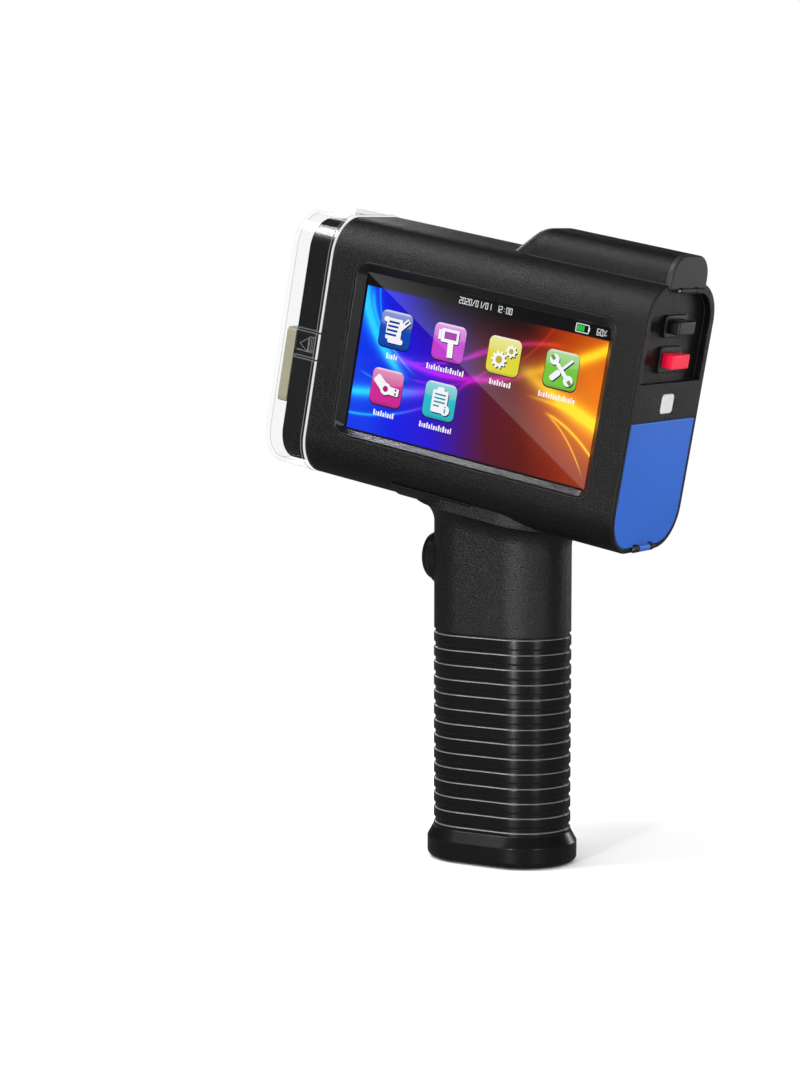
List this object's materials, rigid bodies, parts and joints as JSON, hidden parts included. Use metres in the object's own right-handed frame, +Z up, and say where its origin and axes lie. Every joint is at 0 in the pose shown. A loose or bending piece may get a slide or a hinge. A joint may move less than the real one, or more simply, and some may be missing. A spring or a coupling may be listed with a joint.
{
  "type": "handheld inkjet date printer",
  "caption": "Gun-shaped handheld inkjet printer with a tilted touch-screen head, clear muzzle cap, ribbed upright grip, trigger, rear switches and hinged battery door.",
  "frame": {"origin": "centre of the foot pad's bottom face, on the grip's axis", "axes": "+Z up along the grip; -X is the muzzle, +X the rear end with the switches and battery door; -Y is the display side"},
  "size_m": [0.1562, 0.0498, 0.224],
  "materials": {
    "casing_plastic": "fine-grained satin",
    "grip_plastic": "satin",
    "gloss_black": "polished",
    "clear_plastic": "polished clear",
    "screen_glass": "polished",
    "screen_image": "lit display",
    "blue_plastic": "satin",
    "red_plastic": "gloss",
    "grey_plastic": "satin",
    "seal_rubber": "matte",
    "black_rubber": "matte",
    "steel": "machined",
    "spring_steel": "drawn",
    "screw_black": "blackened",
    "circuit_board": "solder mask",
    "copper_flex": "flexible circuit",
    "brass": "turned",
    "cell_wrap": "shrink wrap",
    "ink_film": "laminated film",
    "cartridge_plastic": "moulded"
  },
  "bodies": {
    "casing": {"head_front_shell": "casing_plastic", "head_rear_shell": "casing_plastic", "grip_front_shell": "grip_plastic", "grip_rear_shell": "grip_plastic", "grip_foot": "grip_plastic", "foot_pad": "black_rubber", "grip_screws": "screw_black", "casing_screws": "screw_black", "board_screws": "steel", "trigger_collar": "gloss_black", "trigger_spring": "spring_steel", "trigger_microswitch": "gloss_black", "trigger_cable": "black_rubber", "display_bezel": "gloss_black", "touch_glass": "screen_glass", "lcd_panel": "screen_image", "display_bracket": "steel", "mainboard": "circuit_board", "display_ribbon": "copper_flex", "buzzer": "gloss_black", "muzzle_frame": "gloss_black", "roller_bushes": "brass", "encoder_board": "circuit_board", "latch_pin": "steel", "cartridge_body": "cartridge_plastic", "cartridge_lid": "cartridge_plastic", "ink_bag": "ink_film", "nozzle_plate": "steel", "cartridge_contacts": "copper_flex", "cartridge_cradle": "gloss_black", "contact_board": "circuit_board", "battery_bay": "gloss_black", "battery_cells": "cell_wrap", "battery_contacts": "brass", "door_pin": "steel", "black_switch_housing": "gloss_black", "black_button_spring": "spring_steel", "red_switch_housing": "gloss_black", "red_button_spring": "spring_steel", "switch_bracket": "steel", "release_spring": "spring_steel", "port_board": "circuit_board", "usb_socket": "steel", "power_jack": "gloss_black", "port_cover_pin": "steel"},
    "cap": {"muzzle_cap": "clear_plastic", "nozzle_seal": "seal_rubber"},
    "roller": {"encoder_roller": "black_rubber", "roller_shaft": "steel", "encoder_magnet": "steel"},
    "latch": {"cartridge_latch": "gloss_black"},
    "trigger": {"trigger_button": "gloss_black"},
    "black_switch": {"black_button": "gloss_black"},
    "red_switch": {"red_button": "red_plastic"},
    "release": {"release_button": "grey_plastic"},
    "door": {"battery_door": "blue_plastic"},
    "port_flap": {"port_cover": "gloss_black"}
  },
  "joints": [
    {"name": "cap_slide", "type": "slide", "parent": "casing", "child": "cap", "axis": [-0.9833, 0, 0.1822], "range_m": [0, 0.03]},
    {"name": "roller_spin", "type": "hinge", "parent": "casing", "child": "roller", "pos_m": [-0.06694, 0.0166, 0.18667], "axis": [0.1822, 0, 0.9833], "continuous": true},
    {"name": "latch_lift", "type": "hinge", "parent": "casing", "child": "latch", "pos_m": [-0.05133, 0, 0.2149], "axis": [0, 1, 0], "range_deg": [0, 9]},
    {"name": "trigger_press", "type": "slide", "parent": "casing", "child": "trigger", "axis": [1, 0, 0], "range_m": [0, 0.0025], "stiffness_N_per_m": 800, "springref_m": -0.001, "deforming": ["trigger_spring"]},
    {"name": "black_switch_press", "type": "slide", "parent": "casing", "child": "black_switch", "axis": [-0.9833, 0, 0.1822], "range_m": [0, 0.002], "stiffness_N_per_m": 600, "springref_m": -0.001, "deforming": ["black_button_spring"]},
    {"name": "red_switch_press", "type": "slide", "parent": "casing", "child": "red_switch", "axis": [-0.9833, 0, 0.1822], "range_m": [0, 0.002], "stiffness_N_per_m": 600, "springref_m": -0.001, "deforming": ["red_button_spring"]},
    {"name": "release_press", "type": "slide", "parent": "casing", "child": "release", "axis": [-0.9833, 0, 0.1822], "range_m": [0, 0.0012], "stiffness_N_per_m": 400, "springref_m": -0.001, "deforming": ["release_spring"]},
    {"name": "door_hinge", "type": "hinge", "parent": "casing", "child": "door", "pos_m": [0.05373, 0, 0.11121], "axis": [0, 1, 0], "range_deg": [0, 92]},
    {"name": "port_cover_hinge", "type": "hinge", "parent": "casing", "child": "port_flap", "pos_m": [0.07001, 0, 0.19688], "axis": [0, 1, 0], "range_deg": [0, 90]}
  ]
}
